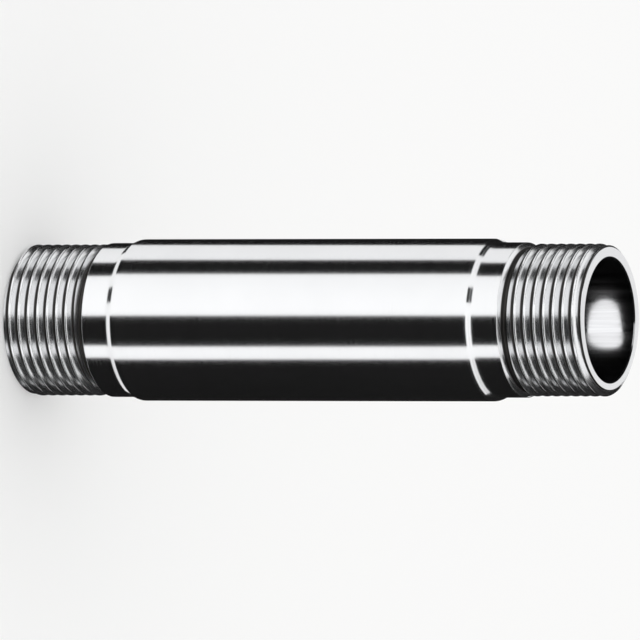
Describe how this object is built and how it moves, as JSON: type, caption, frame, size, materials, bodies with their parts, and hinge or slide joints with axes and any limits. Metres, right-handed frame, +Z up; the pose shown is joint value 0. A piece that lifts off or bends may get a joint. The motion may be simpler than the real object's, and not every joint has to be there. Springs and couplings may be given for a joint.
{
  "type": "pipe nipple",
  "caption": "Long metal pipe nipple: a thick round body stepping down through a plain neck to an outside pipe thread at each end, with a straight bore right through.",
  "frame": {"origin": "centre of the lower end face, which the nipple stands on", "axes": "+Z up the bore's axis, from the lower end to the upper end; the nipple is round, so X and Y are free"},
  "size_m": [0.0282, 0.0282, 0.11],
  "materials": {
    "nipple_metal": "bright turned steel, clean and new, with fine turning marks"
  },
  "bodies": {
    "root": {"nipple": "nipple_metal"}
  },
  "joints": []
}
